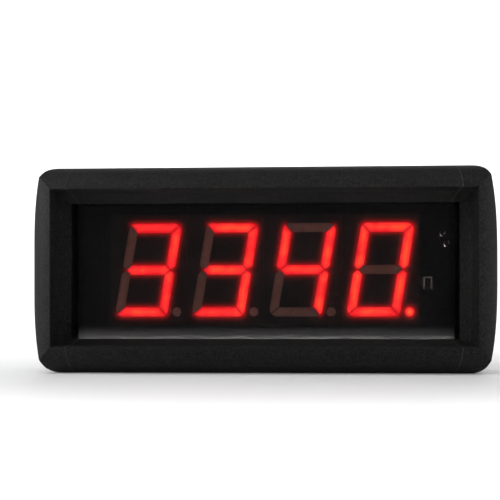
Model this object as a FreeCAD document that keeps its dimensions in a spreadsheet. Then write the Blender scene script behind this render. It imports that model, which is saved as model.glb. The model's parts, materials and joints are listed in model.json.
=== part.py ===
"""Taxi meter: a shallow extruded case with moulded end caps around a four-digit LED fare readout.

Row frame: X to the right as the driver sees the face, Y from the face to the back, Z up.
The origin is under the middle of the case, on the surface that it stands on. Millimetres and degrees.
"""
import FreeCAD
import Part
import math
import os
import Sketcher
from types import SimpleNamespace
from FreeCAD import Placement, Rotation, Vector

# ---------------------------------------------------------------- driving sizes, as they go in the sheet
SIZES = {
    # case
    "case_width": (225.0, "over the two bulged end caps"),
    "depth_beyond_modules": (29.5, "case depth beyond the depth of the digit modules"),
    "case_height": (100.0, "base to top"),
    "seam_half": (92.0, "half the rails' length, where the end caps begin"),
    "seam_chamfer": (0.3, "broken edge of the end caps where they meet the rails"),
    "side_radius": (160.0, "barrel curve of the end caps, seen from the front"),
    "corner_radius": (6.0, "end cap corners, seen from the front"),
    "band_width": (12.6, "outer band, from the outside to the ridge"),
    "band_depth": (9.5, "how far back the outer band slopes"),
    "band_radius": (18.0, "gentle crown of the outer band"),
    "band_edge_radius": (1.0, "rounding from the band into the outer walls"),
    "ridge_land": (0.5, "flat nose of the ridge"),
    "wall_step": (0.5, "lean of the steep inner wall"),
    "inner_wall_depth": (6.0, "depth of the steep inner wall"),
    "inner_bevel_width": (2.6, "width of the bevel down to the window"),
    "inner_bevel_depth": (8.0, "depth of the bevel down to the window"),
    "wall": (2.5, "outer wall"),
    "window_groove": (12.5, "outside of the case to the floor of the window's groove"),
    "window_slack": (0.5, "gap between the window's edge and its groove"),
    "window_thickness": (3.0, "smoked acrylic"),
    "window_corner": (1.5, "corner radius of the window"),
    "seal_thickness": (1.0, "foam behind the window"),
    "seal_width": (3.0, "foam strip"),
    "seal_lip": (15.0, "outside of the case to the edge of the lip behind the seal"),
    "fin": (1.5, "thickness of the lip behind the seal"),
    "rib_height": (8.2, "outside of the case to the top of the screw ribs"),
    "port_inset": (5.2, "outside of the case to the screw ports"),
    "front_port_gap": (4.8, "front screw port to the display board"),
    "rear_port_gap": (3.6, "display board to the rear screw port"),
    "nose_core_top": (10.0, "outside of the case to the deep side of the hollow in the nose"),
    "nose_core_front": (5.0, "ridge to the deep corner of the hollow in the nose"),
    "nose_core_slope": (10.5, "ridge to the shallow corner of the hollow in the nose"),
    "nose_core_wall": (2.5, "nose hollow to the window's groove"),
    "play": (0.1, "sliding clearance of plates in their grooves"),
    # back panel
    "panel_thickness": (1.5, "sheet aluminium"),
    "panel_recess": (1.5, "rear edge of the case to the panel's outer face"),
    "panel_slack": (0.2, "gap between the panel's edge and its groove"),
    "rear_lip": (4.5, "outside of the case to the edge of the rear lip"),
    "ledge": (1.6, "ledge that the panel lies against"),
    # cap screws
    "screw_radius": (1.45, "thread of the cap screws"),
    "screw_fit": (0.05, "screw to port"),
    "screw_clear_radius": (1.7, "hole in the end cap"),
    "screw_head_radius": (2.6, "pan head"),
    "screw_head_height": (1.9, "pan head"),
    "screw_seat_radius": (3.0, "counterbore in the end cap"),
    "screw_bite": (8.0, "thread engaged in the rail"),
    "screw_slot_width": (0.7, "cross recess"),
    "screw_slot_length": (3.0, "cross recess"),
    "screw_slot_depth": (1.0, "cross recess"),
    "boss_radius": (3.2, "screw boss inside the end cap"),
    # digits
    "digit_pitch": (39.0, "module to module"),
    "module_width": (38.8, "one-digit LED module"),
    "module_height": (56.0, "one-digit LED module"),
    "module_depth": (10.5, "face to back"),
    "window_to_module": (0.3, "back of the window to the modules' faces"),
    "glyph_width": (26.6, "seven-segment figure, across its strokes"),
    "glyph_height": (46.9, "seven-segment figure"),
    "stroke": (4.5, "width of a segment"),
    "stroke_gap": (0.45, "dark line between two segments"),
    "tip_gap": (0.65, "figure's middle to the tips of the upright segments"),
    "tip_chamfer": (1.5, "outer corner cut from those tips"),
    "slant": (9.5, "lean of the figures, degrees"),
    "glyph_corner": (3.8, "rounded outer corners of the figure"),
    "segment_depth": (5.5, "light pipe of a segment"),
    "segment_slack": (0.05, "light pipe to its well in the module"),
    "digit_rise": (1.0, "figures over the middle of the case"),
    "point_across": (14.4, "decimal point, from the figure's centre"),
    "point_below": (21.2, "decimal point, from the figure's centre"),
    "point_radius": (2.3, "decimal point"),
    "pin_radius": (0.25, "module pins"),
    "pin_pitch": (5.08, "module pins, side by side"),
    "pin_row": (22.86, "module pins, row to centre"),
    "pin_root": (1.0, "pin length inside the module"),
    "pin_tail": (2.0, "pin length behind the board"),
    "pin_slack": (0.05, "pin to module"),
    "pin_hole_slack": (0.2, "pin to board"),
    # board
    "board_half": (97.0, "half the board's length"),
    "board_edge": (5.0, "outside of the case to the board's edge"),
    "board_thickness": (1.6, "glass-fibre board"),
    "mounted_gap": (0.05, "solder under a part on the board"),
    # infrared receiver and light sensor, on the front of the board
    "receiver_x": (83.2, "infrared receiver"),
    "receiver_z": (44.6, "infrared receiver"),
    "receiver_width": (2.8, "infrared receiver"),
    "receiver_height": (4.6, "infrared receiver"),
    "receiver_depth": (3.6, "infrared receiver"),
    "receiver_standoff": (2.4, "board to the receiver's back"),
    "receiver_lens_radius": (1.2, "half-round lens"),
    "shield_width": (4.4, "tin shield round the receiver"),
    "shield_height": (6.2, "tin shield round the receiver"),
    "shield_wall": (0.7, "tin shield round the receiver"),
    "shield_depth": (6.6, "tin shield, off the board"),
    "sensor_x": (93.0, "light sensor"),
    "sensor_z": (70.8, "light sensor"),
    "lamp_x": (95.0, "status lamp"),
    "lamp_z": (65.6, "status lamp"),
    "dome_radius": (1.5, "domed 3 mm package of the light sensor and the lamp"),
    "dome_height": (3.0, "straight part of the package"),
    "dome_rim_radius": (1.9, "rim of the package"),
    "dome_rim_height": (0.8, "rim of the package"),
    # parts on the back of the board
    "chip_x": (0.0, "microcontroller"),
    "chip_z": (46.0, "microcontroller"),
    "chip_side": (10.0, "microcontroller"),
    "chip_height": (1.6, "microcontroller"),
    "chip_leads_per_side": (8.0, "microcontroller"),
    "chip_lead_pitch": (1.0, "microcontroller"),
    "lead_width": (0.4, "chip leads"),
    "lead_thickness": (0.2, "chip leads"),
    "lead_reach": (1.1, "chip leads, out from the body"),
    "driver_x": (39.0, "display drivers, each side of the centre"),
    "driver_z": (50.0, "display drivers"),
    "driver_width": (5.3, "display drivers"),
    "driver_length": (10.2, "display drivers"),
    "driver_height": (1.9, "display drivers"),
    "driver_leads_per_side": (8.0, "display drivers"),
    "driver_lead_pitch": (1.27, "display drivers"),
    "resistor_x": (-58.0, "column of segment resistors"),
    "resistor_z": (40.0, "lowest resistor"),
    "resistor_pitch": (3.2, "resistor to resistor"),
    "resistor_length": (3.2, "chip resistor"),
    "resistor_width": (1.6, "chip resistor"),
    "resistor_height": (0.6, "chip resistor"),
    "crystal_x": (0.0, "clock crystal"),
    "crystal_z": (61.0, "clock crystal"),
    "crystal_length": (11.0, "clock crystal can"),
    "crystal_width": (4.4, "clock crystal can"),
    "crystal_height": (3.4, "clock crystal can"),
    "crystal_rim": (0.4, "foot flange of the can"),
    "regulator_x": (-20.0, "voltage regulator"),
    "regulator_z": (58.0, "voltage regulator"),
    "regulator_width": (6.5, "voltage regulator"),
    "regulator_length": (6.1, "voltage regulator"),
    "regulator_height": (2.3, "voltage regulator"),
    "regulator_tab": (1.2, "cooling tab, out from the body"),
    "regulator_tab_thickness": (0.5, "cooling tab"),
    "inductor_x": (-74.0, "power inductor"),
    "inductor_z": (50.0, "power inductor"),
    "inductor_side": (9.0, "base of the inductor"),
    "inductor_base": (1.0, "base of the inductor"),
    "inductor_radius": (4.3, "ferrite drum"),
    "inductor_waist": (3.4, "winding on the drum"),
    "inductor_height": (4.8, "whole inductor"),
    "inductor_flange": (0.9, "flange of the drum"),
    "capacitor_x": (-88.0, "lying capacitors"),
    "capacitor_z": (33.0, "foot of the lower capacitor"),
    "capacitor_step": (14.0, "capacitor to capacitor"),
    "capacitor_radius": (3.15, "electrolytic can"),
    "capacitor_length": (11.0, "electrolytic can"),
    "capacitor_groove": (0.25, "crimped groove"),
    "capacitor_groove_up": (1.6, "foot to the crimped groove"),
    "capacitor_groove_width": (0.8, "crimped groove"),
    "buzzer_x": (20.0, "sounder"),
    "buzzer_z": (61.0, "sounder"),
    "buzzer_radius": (6.0, "sounder"),
    "buzzer_height": (5.5, "sounder"),
    "buzzer_port_radius": (1.0, "hole in the sounder"),
    "buzzer_port_depth": (1.5, "hole in the sounder"),
    "vent_radius": (0.9, "sound holes in the back panel"),
    "vent_ring": (3.6, "ring of sound holes"),
    "cell_x": (62.0, "backup coin cell"),
    "cell_z": (61.0, "backup coin cell"),
    "cell_radius": (10.0, "coin cell"),
    "cell_thickness": (3.2, "coin cell"),
    "cell_step_radius": (8.8, "smaller face of the cell"),
    "cell_step": (0.4, "smaller face of the cell"),
    "clip_width": (4.0, "spring strap over the cell"),
    "clip_thickness": (0.3, "spring strap over the cell"),
    "clip_slack": (0.1, "strap to cell"),
    "clip_foot": (2.0, "soldered foot of the strap"),
    # keys
    "key_first_x": (52.0, "first key"),
    "key_pitch": (12.0, "key to key"),
    "key_drop": (13.0, "middle of the figures down to the row of keys"),
    "key_radius": (3.2, "key cap"),
    "key_flange_radius": (4.2, "collar that keeps the key in"),
    "key_flange": (1.0, "collar thickness"),
    "key_proud": (1.2, "key cap, out from the panel"),
    "key_hole_slack": (0.25, "key cap to panel"),
    "key_edge_radius": (0.5, "rounded rim of the cap"),
    "key_rest_gap": (0.15, "collar to the panel at rest"),
    "key_travel": (0.8, "how far a key goes in"),
    "switch_side": (6.0, "tact switch"),
    "switch_height": (3.5, "tact switch"),
    "stem_radius": (1.7, "switch stem"),
    "stem_slack": (0.1, "stem to its hole"),
    "stem_sunk": (1.5, "stem inside the switch at rest"),
    "stem_room": (1.1, "room under the stem"),
    # rocker switch
    "rocker_x": (-45.0, "power switch"),
    "inlet_z": (14.6, "power switch, power inlet and cable inlet"),
    "rocker_flange_width": (15.0, "power switch"),
    "rocker_flange_height": (10.5, "power switch"),
    "rocker_flange": (0.9, "flange on the panel"),
    "rocker_body_width": (13.0, "power switch body"),
    "rocker_body_height": (8.6, "power switch body"),
    "rocker_body_depth": (8.4, "power switch body, behind the flange"),
    "rocker_hole_slack": (0.1, "switch body to panel"),
    "rocker_opening_half": (5.6, "opening for the paddle, half its width"),
    "rocker_opening_height": (6.4, "opening for the paddle"),
    "rocker_floor": (1.5, "bottom of the switch body"),
    "paddle_half": (5.0, "half the paddle's length"),
    "paddle_height": (6.1, "paddle, across"),
    "paddle_tip": (1.05, "tips of the paddle over its pivot"),
    "paddle_dip": (0.35, "middle of the paddle over its pivot"),
    "paddle_root_half": (3.4, "half the paddle's root"),
    "paddle_root": (3.2, "paddle below its pivot"),
    "pivot_inset": (2.05, "rear edge of the case to the paddle's pivot"),
    "pivot_radius": (0.8, "pivot stubs"),
    "pivot_slack": (0.05, "stub to its hole"),
    "pivot_length": (0.8, "stub, out from the paddle"),
    "pivot_end_gap": (0.1, "stub to the blind end of its hole"),
    "rocker_tilt": (9.0, "paddle to either side, degrees"),
    "blade_offset": (3.5, "switch terminals, each side"),
    "blade_width": (2.8, "switch terminals"),
    "blade_thickness": (0.8, "switch terminals"),
    "blade_length": (3.4, "switch terminals"),
    # power inlet and cable inlet
    "socket_x": (-70.0, "power inlet"),
    "socket_side": (9.0, "power inlet body"),
    "socket_depth": (6.9, "power inlet body, behind the panel"),
    "bushing_radius": (3.9, "threaded bushing"),
    "bushing_slack": (0.1, "bushing to panel and nut"),
    "socket_bore": (2.9, "plug's hole"),
    "socket_bore_floor": (1.2, "closed end of the plug's hole"),
    "contact_radius": (1.0, "centre contact"),
    "contact_sunk": (1.5, "tip of the contact below the bushing's mouth"),
    "nut_radius": (5.4, "nut, over its corners"),
    "grommet_x": (-16.0, "cable inlet"),
    "grommet_bore": (3.0, "cable hole"),
    "grommet_neck": (4.5, "grommet in the panel"),
    "grommet_slack": (0.1, "grommet to panel"),
    "grommet_flange": (6.0, "outer flange"),
    "grommet_inner_flange": (5.4, "inner flange"),
    "grommet_inner_length": (1.6, "inner flange"),
    # hanging holes
    "keyhole_x": (75.0, "keyholes, each side"),
    "keyhole_z": (77.0, "keyholes' entry"),
    "keyhole_radius": (4.0, "keyholes' entry"),
    "keyhole_slot_radius": (2.1, "keyholes' slot"),
    "keyhole_rise": (7.0, "entry to the slot's end"),
    # leads
    "lead_radius": (0.7, "insulated wire"),
    "lead_bend": (3.0, "bend radius of the wires"),
    "lead_back": (32.5, "ridge to the plane of the wires"),
    "lead_spread": (2.5, "wires at the power inlet, each side of its centre"),
    "low_route": (26.0, "height of the wire from the inlet to the switch"),
    "middle_route": (31.6, "height of the switched wire"),
    "high_route": (34.6, "height of the return wire"),
    "header_x": (-33.0, "near face of the wire header"),
    "header_z": (29.8, "foot of the wire header"),
    "header_width": (5.6, "wire header"),
    "header_height": (6.6, "wire header"),
    "header_depth": (5.8, "wire header"),
}
LIT = ("abcdg", "abcdg", "bcfg", "abcdefp")
ALL_SEGMENTS = "abcdefgp"
DIGIT_COUNT = len(LIT)
PIN_COLUMNS = 5
KEY_COUNT = 4
VENT_COUNT = 6
RESISTOR_COUNT = 8
CAPACITOR_COUNT = 2
SLOT_ROUNDNESS = 0.98  # how much of a full half-round a slot's end is, which leaves it a short flat
PLANE_ROLES = {"x": "YZ_Plane", "y": "XZ_Plane", "z": "XY_Plane"}
TURNS = {"x": Rotation(Vector(0, 1, 0), 90), "y": Rotation(Vector(1, 0, 0), -90), "z": Rotation()}
BEYOND = 1.0  # how far a cutting shape runs past what it cuts


# ---------------------------------------------------------------- sizes that remember their formula
class Size:
    """A number together with the spreadsheet formula that gives it."""

    def __init__(self, value, text):
        self.value = float(value)
        self.text = text

    def __add__(self, other):
        other = sized(other)
        return Size(self.value + other.value, f"({self.text} + {other.text})")

    def __radd__(self, other):
        return sized(other) + self

    def __sub__(self, other):
        other = sized(other)
        return Size(self.value - other.value, f"({self.text} - {other.text})")

    def __rsub__(self, other):
        return sized(other) - self

    def __mul__(self, other):
        other = sized(other)
        return Size(self.value * other.value, f"({self.text} * {other.text})")

    def __rmul__(self, other):
        return sized(other) * self

    def __truediv__(self, other):
        other = sized(other)
        return Size(self.value / other.value, f"({self.text} / {other.text})")

    def __neg__(self):
        return self * -1

    def root(self):
        return Size(math.sqrt(self.value), f"sqrt({self.text})")

    def tangent(self):
        return Size(math.tan(math.radians(self.value)), f"tan({self.text} * 1 deg)")


def sized(number):
    return number if isinstance(number, Size) else Size(number, repr(float(number)))


def make_sheet():
    sheet = doc.addObject("Spreadsheet::Sheet", "Sizes")
    for row, (alias, (value, remark)) in enumerate(SIZES.items(), 1):
        sheet.set(f"A{row}", alias)
        sheet.set(f"B{row}", repr(value))
        sheet.set(f"C{row}", remark)
        sheet.setAlias(f"B{row}", alias)
    doc.recompute()
    return SimpleNamespace(**{alias: Size(pair[0], f"Sizes.{alias}") for alias, pair in SIZES.items()})


def bind(thing, path, size):
    thing.setExpression(path, sized(size).text)


# ---------------------------------------------------------------- Part shapes
def put(thing, x, y, z):
    for axis, size in zip("xyz", (x, y, z)):
        bind(thing, f"Placement.Base.{axis}", size)
    return thing


def block(name, xs, ys, zs):
    """A box from its lower and upper bounds along X, Y and Z."""
    box = doc.addObject("Part::Box", name)
    for path, (low, high) in zip(("Length", "Width", "Height"), (xs, ys, zs)):
        bind(box, path, sized(high) - low)
    return put(box, xs[0], ys[0], zs[0])


def lying(thing, axis, across, start):
    """Turns a shape made along Z to run along an axis from start; across gives the other two places."""
    thing.Placement = Placement(Vector(), TURNS[axis])
    places = list(across)
    places.insert("xyz".index(axis), start)
    return put(thing, *places)


def rod(name, axis, across, start, end, radius):
    cylinder = doc.addObject("Part::Cylinder", name)
    bind(cylinder, "Radius", radius)
    bind(cylinder, "Height", sized(end) - start)
    return lying(cylinder, axis, across, start)


def hexagon(name, axis, across, start, end, radius):
    prism = doc.addObject("Part::Prism", name)
    prism.Polygon = 6
    bind(prism, "Circumradius", radius)
    bind(prism, "Height", sized(end) - start)
    return lying(prism, axis, across, start)


def ball(name, x, y, z, radius):
    sphere = doc.addObject("Part::Sphere", name)
    bind(sphere, "Radius", radius)
    return put(sphere, x, y, z)


def join(name, *pieces):
    fusion = doc.addObject("Part::MultiFuse", name)
    fusion.Shapes = list(pieces)
    fusion.Refine = True
    return fusion


def carve(name, base, *tools):
    cut = doc.addObject("Part::Cut", name)
    cut.Base = base
    cut.Tool = tools[0] if len(tools) == 1 else join(f"{name}_tools", *tools)
    return cut


def gather(name, pieces):
    compound = doc.addObject("Part::Compound", name)
    compound.Links = list(pieces)
    return compound


def keep(node, thing):
    """Names a finished sub-part; its label is its file's name."""
    thing.Label = node
    kept.append(thing)
    return thing


# ---------------------------------------------------------------- sketches and PartDesign features
def ring(u, v, radius):
    return ("ring", sized(u), sized(v), sized(radius))


def loop(*corners):
    """Corners (u, v) or (u, v, bend); bend is the radius of the arc to the next, positive to the left."""
    return [(sized(c[0]), sized(c[1]), sized(c[2]) if len(c) > 2 else None) for c in corners]


def rectangle(us, vs):
    return loop((us[0], vs[0]), (us[1], vs[0]), (us[1], vs[1]), (us[0], vs[1]))


def rounded(us, vs, radius):
    left, right = us
    low, high = vs
    return loop((left + radius, low), (right - radius, low, radius), (right, low + radius),
                (right, high - radius, radius), (right - radius, high), (left + radius, high, radius),
                (left, high - radius), (left, low + radius, radius))


def arc_between(here, there, bend):
    """The arc from here to there; a negative bend runs clockwise, so its ends come out swapped."""
    chord = there - here
    rise = math.sqrt(bend * bend - chord.Length ** 2 / 4)
    left = Vector(-chord.y, chord.x, 0).normalize()
    centre = (here + there) / 2 + left * math.copysign(rise, bend)
    first, last = (here, there) if bend > 0 else (there, here)
    begin = math.atan2(first.y - centre.y, first.x - centre.x)
    finish = math.atan2(last.y - centre.y, last.x - centre.x)
    if finish < begin:
        finish += 2 * math.pi
    return Part.ArcOfCircle(Part.Circle(centre, Vector(0, 0, 1), abs(bend)), begin, finish)


def draw(sketch, figures, closed=True):
    """Adds rings and runs of corners; the sheet drives a constraint on every point and radius."""
    shapes = []
    rules = []
    formulas = []

    def hold(kind, size, *where):
        formulas.append((len(rules), size))
        rules.append(Sketcher.Constraint(kind, *where, size.value))

    def place(u, v, *where):
        hold("DistanceX", u, -1, 1, *where)
        hold("DistanceY", v, -1, 1, *where)

    for figure in figures:
        first = len(shapes)
        if figure[0] == "ring":
            _, u, v, radius = figure
            shapes.append(Part.Circle(Vector(u.value, v.value, 0), Vector(0, 0, 1), radius.value))
            place(u, v, first, 3)
            hold("Radius", radius, first)
            continue
        points = [Vector(u.value, v.value, 0) for u, v, _ in figure]
        count = len(figure) if closed else len(figure) - 1
        ends = []
        for here, there, (_, _, bend) in zip(points[:count], points[1:] + points[:1], figure):
            clockwise = bend is not None and bend.value < 0
            ends.append((2, 1) if clockwise else (1, 2))
            shapes.append(Part.LineSegment(here, there) if bend is None
                          else arc_between(here, there, bend.value))
        for i in range(count):
            u, v, bend = figure[i]
            place(u, v, first + i, ends[i][0])
            if bend is not None:
                hold("Radius", bend if bend.value > 0 else -bend, first + i)
            following = (i + 1) % count
            if closed or following:
                rules.append(Sketcher.Constraint("Coincident", first + i, ends[i][1],
                                                 first + following, ends[following][0]))
        if not closed:
            place(*figure[-1][:2], first + count - 1, ends[-1][1])
    sketch.addGeometry(shapes, False)
    sketch.addConstraint(rules)
    for index, size in formulas:
        bind(sketch, f"Constraints[{index}]", size)


def sketch_on(body, name, axis, place, loops):
    """A sketch across an axis: YZ for x, XZ for y and XY for z, at a place along that axis."""
    sketch = body.newObject("Sketcher::SketchObject", name)
    plane = next(f for f in body.Origin.OriginFeatures if f.Role == PLANE_ROLES[axis])
    sketch.AttachmentSupport = [(plane, "")]
    sketch.MapMode = "FlatFace"
    bind(sketch, "AttachmentOffset.Base.z", -sized(place) if axis == "y" else place)
    draw(sketch, loops)
    return sketch


def new_body(name):
    return doc.addObject("PartDesign::Body", f"{name}_body")


def pad(body, name, axis, loops, start, end):
    feature = body.newObject("PartDesign::Pad", name)
    feature.Profile = sketch_on(body, f"{name}_sketch", axis, start, loops)
    bind(feature, "Length", sized(end) - start)
    feature.Reversed = axis == "y"
    return feature


def pocket(body, name, axis, loops, start, end):
    """Cuts from start to end; a pocket that misses the solid is an error."""
    doc.recompute()
    before = body.Shape.Volume
    feature = body.newObject("PartDesign::Pocket", name)
    feature.Profile = sketch_on(body, f"{name}_sketch", axis, start, loops)
    bind(feature, "Length", sized(end) - start)
    feature.Reversed = axis != "y"
    doc.recompute()
    if not body.Shape.Volume < before:
        raise ValueError(f"{name} cuts nothing")
    return feature


def cut_between(body, name, first_place, first_loop, last_place, last_loop):
    """Cuts the straight-sided space between two outlines across Y."""
    feature = body.newObject("PartDesign::SubtractiveLoft", name)
    feature.Profile = sketch_on(body, f"{name}_front", "y", first_place, [first_loop])
    feature.Sections = [sketch_on(body, f"{name}_back", "y", last_place, [last_loop])]
    feature.Ruled = True
    return feature


def fillet(body, name, size, wanted, kind="Fillet"):
    """Rounds or chamfers the edges that wanted(edge, shape) picks on the body as it stands."""
    doc.recompute()
    shape = body.Shape
    names = [f"Edge{i}" for i, edge in enumerate(shape.Edges, 1) if wanted(edge, shape)]
    if not names:
        raise ValueError(f"{name} finds no edges")
    base = body.Tip
    feature = body.newObject(f"PartDesign::{kind}", name)
    feature.Base = (base, names)
    bind(feature, "Radius" if kind == "Fillet" else "Size", size)
    return feature


def both(side, near, far):
    """Bounds from the middle outward, on the side that is +1 or -1, lowest first."""
    return (near, far) if side > 0 else (-sized(far), -sized(near))


# ---------------------------------------------------------------- places shared by several sub-parts
def work_out_places(d):
    d.case_depth = d.module_depth + d.depth_beyond_modules
    d.front = -d.case_depth / 2
    d.back = d.case_depth / 2
    d.middle = d.case_height / 2
    d.digit_middle = d.middle + d.digit_rise
    d.key_z = d.digit_middle - d.key_drop
    d.side = d.case_width / 2
    d.band_back = d.front + d.band_depth
    d.wall_start = d.band_width + d.ridge_land
    d.bevel_start = d.wall_start + d.wall_step
    d.sight_edge = d.bevel_start + d.inner_bevel_width
    d.bevel_front = d.front + d.inner_wall_depth
    d.window_front = d.bevel_front + d.inner_bevel_depth
    d.window_back = d.window_front + d.window_thickness
    d.seal_back = d.window_back + d.seal_thickness
    d.fin_back = d.seal_back + d.fin
    d.module_front = d.window_back + d.window_to_module
    d.board_front = d.module_front + d.module_depth
    d.board_back = d.board_front + d.board_thickness
    d.mount_plane = d.board_back + d.mounted_gap
    d.panel_back = d.back - d.panel_recess
    d.panel_front = d.panel_back - d.panel_thickness
    d.ledge_back = d.panel_front - d.play
    d.ledge_front = d.ledge_back - d.ledge
    d.groove_back = d.panel_back + d.play
    d.front_port = d.board_front - d.front_port_gap
    d.rear_port = d.board_back + d.rear_port_gap
    d.lead_plane = d.front + d.lead_back
    d.key_bottom = d.panel_front - d.key_rest_gap - d.key_flange
    d.pivot = d.back - d.pivot_inset


def barrel_side(d, side, inset):
    """Corners up one end cap's outside from its lower to its upper edge, set in by inset."""
    radius = d.side_radius - inset
    corner = d.corner_radius - inset
    if corner.value <= 0:
        raise ValueError("the corner radius is smaller than the inset")
    half_height = d.middle - inset
    centre_x = d.side - d.side_radius
    reach = radius - corner
    rise = half_height - corner
    across = (reach * reach - rise * rise).root()
    corner_x = centre_x + across
    touch_x = centre_x + across * radius / reach
    touch_z = rise * radius / reach
    corner = corner * side
    return [(corner_x * side, d.middle - half_height, corner),
            (touch_x * side, d.middle - touch_z, radius * side),
            (touch_x * side, d.middle + touch_z, corner),
            (corner_x * side, d.middle + half_height)]


def cap_outline(d, side, inset, start):
    """The end cap's outline across Y, from a line at start to its bulged side."""
    lowest = sized(inset)
    near = sized(start) * side
    return loop((near, lowest), *barrel_side(d, side, inset), (near, d.case_height - inset))


def window_rectangle(d, inset):
    return rectangle((-(d.side - inset), d.side - inset), (sized(inset), d.case_height - inset))


# ---------------------------------------------------------------- case
def make_rail(d, node, side):
    """One extruded rail: its section is the same top and bottom, turned over."""
    def level(depth):
        return d.case_height - depth if side > 0 else sized(depth)

    section = [
        (d.back, 0), (d.band_back, 0, d.band_radius * side), (d.front, d.band_width),
        (d.front, d.wall_start), (d.bevel_front, d.bevel_start), (d.window_front, d.sight_edge),
        (d.window_front, d.window_groove),
        (d.seal_back, d.window_groove), (d.seal_back, d.seal_lip), (d.fin_back, d.seal_lip),
        (d.fin_back, d.rib_height), (d.board_front - d.play, d.rib_height),
        (d.board_front - d.play, d.board_edge - d.play), (d.board_back + d.play, d.board_edge - d.play),
        (d.board_back + d.play, d.rib_height), (d.ledge_back, d.rib_height), (d.ledge_back, d.wall),
        (d.groove_back, d.wall), (d.groove_back, d.rear_lip), (d.back, d.rear_lip),
    ]
    outer = loop(*[(corner[0], level(corner[1]), *corner[2:]) for corner in section])
    core = loop(
        (d.seal_back - d.nose_core_wall, level(d.wall)), (d.front + d.nose_core_slope, level(d.wall)),
        (d.front + d.nose_core_front, level(d.nose_core_top)),
        (d.seal_back - d.nose_core_wall, level(d.nose_core_top)))
    port_radius = d.screw_radius + d.screw_fit
    ports = [ring(place, level(d.port_inset), port_radius) for place in (d.front_port, d.rear_port)]
    body = new_body(node)
    pad(body, f"{node}_section", "x", [outer, core, *ports], -d.seam_half, d.seam_half)

    def band_edge(edge, _):
        box = edge.BoundBox
        return (box.XLength > d.seam_half.value and abs(box.YMin - d.band_back.value) < 0.01
                and abs(box.ZMax - level(0).value) < 0.01)

    fillet(body, f"{node}_edge", d.band_edge_radius, band_edge)
    keep(node, body)


def make_end_cap(d, node, side):
    """A moulded end cap: the rails' section carried round the end of the case, with a bulged side."""
    body = new_body(node)
    pad(body, f"{node}_outline", "y", [cap_outline(d, side, 0, d.seam_half)], d.front, d.back)
    top = d.case_height
    over = top + BEYOND
    ahead = d.front - BEYOND
    bands = [
        loop((d.band_back, top, d.band_radius), (d.front, top - d.band_width), (ahead, top - d.band_width),
             (ahead, over), (d.band_back, over)),
        loop((d.band_back, 0, -d.band_radius), (d.front, d.band_width), (ahead, d.band_width),
             (ahead, -BEYOND), (d.band_back, -BEYOND)),
    ]
    pocket(body, f"{node}_bands", "x", bands, *both(side, d.seam_half - BEYOND, d.side + BEYOND))
    ridge = d.side - d.band_width
    outside = d.side + BEYOND
    flank = loop((ridge * side, d.front, d.band_radius * side), (d.side * side, d.band_back),
                 (outside * side, d.band_back), (outside * side, ahead), (ridge * side, ahead))
    pocket(body, f"{node}_flank", "z", [flank], sized(-BEYOND), over)

    def band_edge(edge, shape):
        faces = shape.ancestorsOfType(edge, Part.Face)
        reach = sorted(face.BoundBox.YMax for face in faces)
        seam = abs(abs(edge.BoundBox.XMin) - d.seam_half.value) < 0.01 and edge.BoundBox.XLength < 0.01
        return len(reach) == 2 and reach[0] < d.band_back.value + 0.01 and reach[1] > 0 and not seam

    fillet(body, f"{node}_edge", d.band_edge_radius, band_edge)

    def seam_edge(edge, _):
        box = edge.BoundBox
        outer = box.ZMax < d.band_width.value + 0.01 or box.ZMin > (top - d.band_width).value - 0.01
        return outer and box.XLength < 0.01 and abs(abs(box.XMin) - d.seam_half.value) < 0.01

    fillet(body, f"{node}_seam", d.seam_chamfer, seam_edge, "Chamfer")
    cut_between(body, f"{node}_inner_wall", d.front, window_rectangle(d, d.wall_start),
                d.bevel_front, window_rectangle(d, d.bevel_start))
    cut_between(body, f"{node}_inner_bevel", d.bevel_front, window_rectangle(d, d.bevel_start),
                d.window_front, window_rectangle(d, d.sight_edge))
    pocket(body, f"{node}_window_groove", "y", [window_rectangle(d, d.window_groove)],
           d.window_front, d.seal_back)
    pocket(body, f"{node}_seal_lip", "y", [window_rectangle(d, d.seal_lip)], d.seal_back, d.fin_back)
    inside = d.seam_half - BEYOND
    for name, inset, start, end in (
            ("hollow", d.wall, d.fin_back, d.ledge_front),
            ("ledge", d.rear_lip, d.ledge_front, d.ledge_back),
            ("panel_groove", d.wall, d.ledge_back, d.groove_back),
            ("rear_opening", d.rear_lip, d.groove_back, d.back)):
        pocket(body, f"{node}_{name}", "y", [cap_outline(d, side, inset, inside)], start, end)
    seat = head_seat(d)
    ports = [(y, z) for y in (d.front_port, d.rear_port) for z in (d.port_inset, top - d.port_inset)]
    pad(body, f"{node}_bosses", "x", [ring(y, z, d.boss_radius) for y, z in ports],
        *both(side, d.seam_half, seat))
    pocket(body, f"{node}_screw_holes", "x", [ring(y, z, d.screw_clear_radius) for y, z in ports],
           *both(side, d.seam_half - BEYOND, outside))
    pocket(body, f"{node}_screw_seats", "x", [ring(y, z, d.screw_seat_radius) for y, z in ports],
           *both(side, seat, outside))
    keep(node, body)


def head_seat(d):
    """Where the cap screws' heads sit, so that they end flush with the cap near its corners."""
    bulge = d.side_radius - (d.side_radius * d.side_radius - d.middle * d.middle).root()
    return d.side - bulge - d.screw_head_height


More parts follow.
